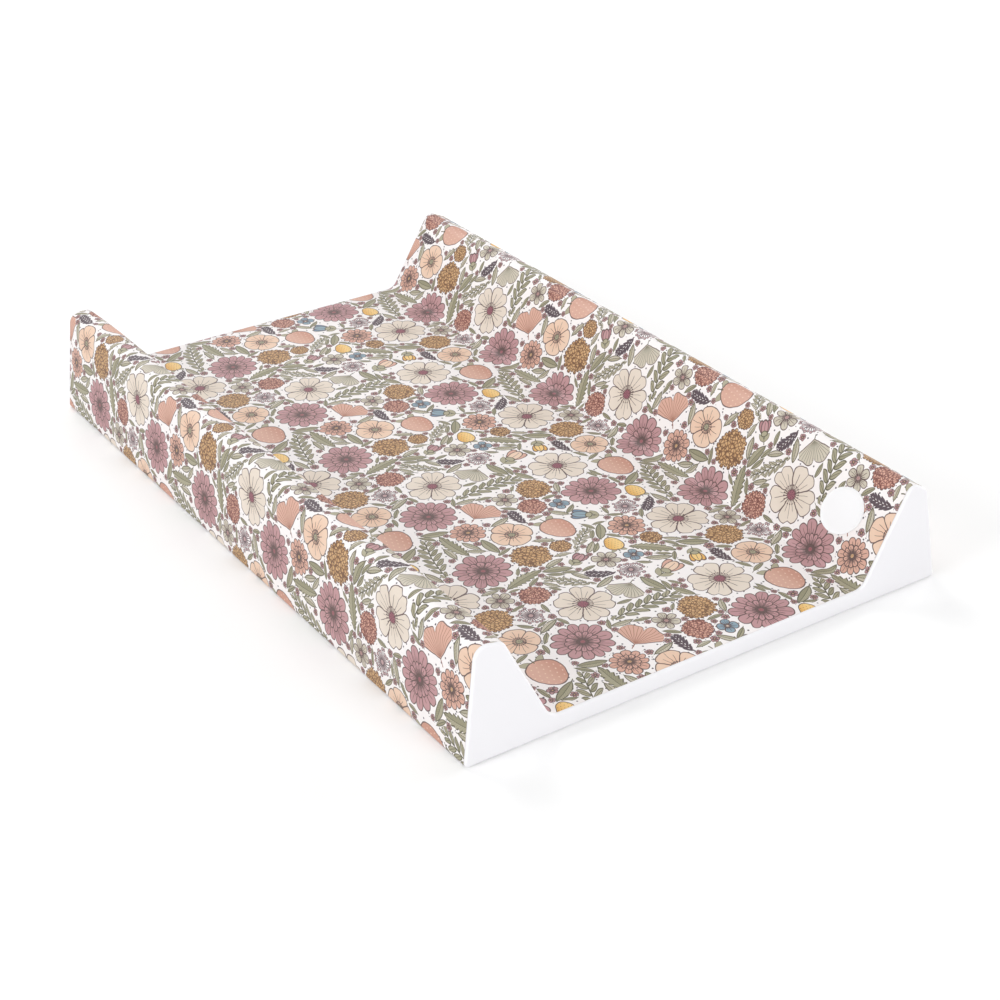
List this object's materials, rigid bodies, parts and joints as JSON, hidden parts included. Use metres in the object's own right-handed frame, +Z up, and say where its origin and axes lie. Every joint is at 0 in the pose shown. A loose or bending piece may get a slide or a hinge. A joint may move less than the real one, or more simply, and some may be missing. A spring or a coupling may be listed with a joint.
{
  "type": "changing mat",
  "caption": "Hard baby changing mat: raised foam side walls on a board, a sloping lying surface between them, printed wipe-clean film cover and plain white ends.",
  "frame": {"origin": "on the surface that the mat lies on, under the middle of the mat", "axes": "+Y along the mat from the thin foot end to the thick head end, +X to the right wall, +Z up"},
  "size_m": [0.499, 0.8, 0.1056],
  "materials": {
    "printed_film": "satin film with a small flower print on white",
    "white_film": "plain white satin film",
    "label_film": "smooth white patch",
    "foam": "open-cell polyurethane foam",
    "board": "hardboard",
    "vent_plastic": "moulded eyelet"
  },
  "bodies": {
    "root": {"top_cover": "printed_film", "front_end_panel": "white_film", "rear_end_panel": "white_film", "round_label": "label_film", "bottom_cover": "white_film", "base_board": "board", "left_side_foam": "foam", "right_side_foam": "foam", "centre_foam_pad": "foam", "air_vent_1": "vent_plastic", "air_vent_2": "vent_plastic", "air_vent_3": "vent_plastic", "air_vent_4": "vent_plastic"}
  },
  "joints": []
}
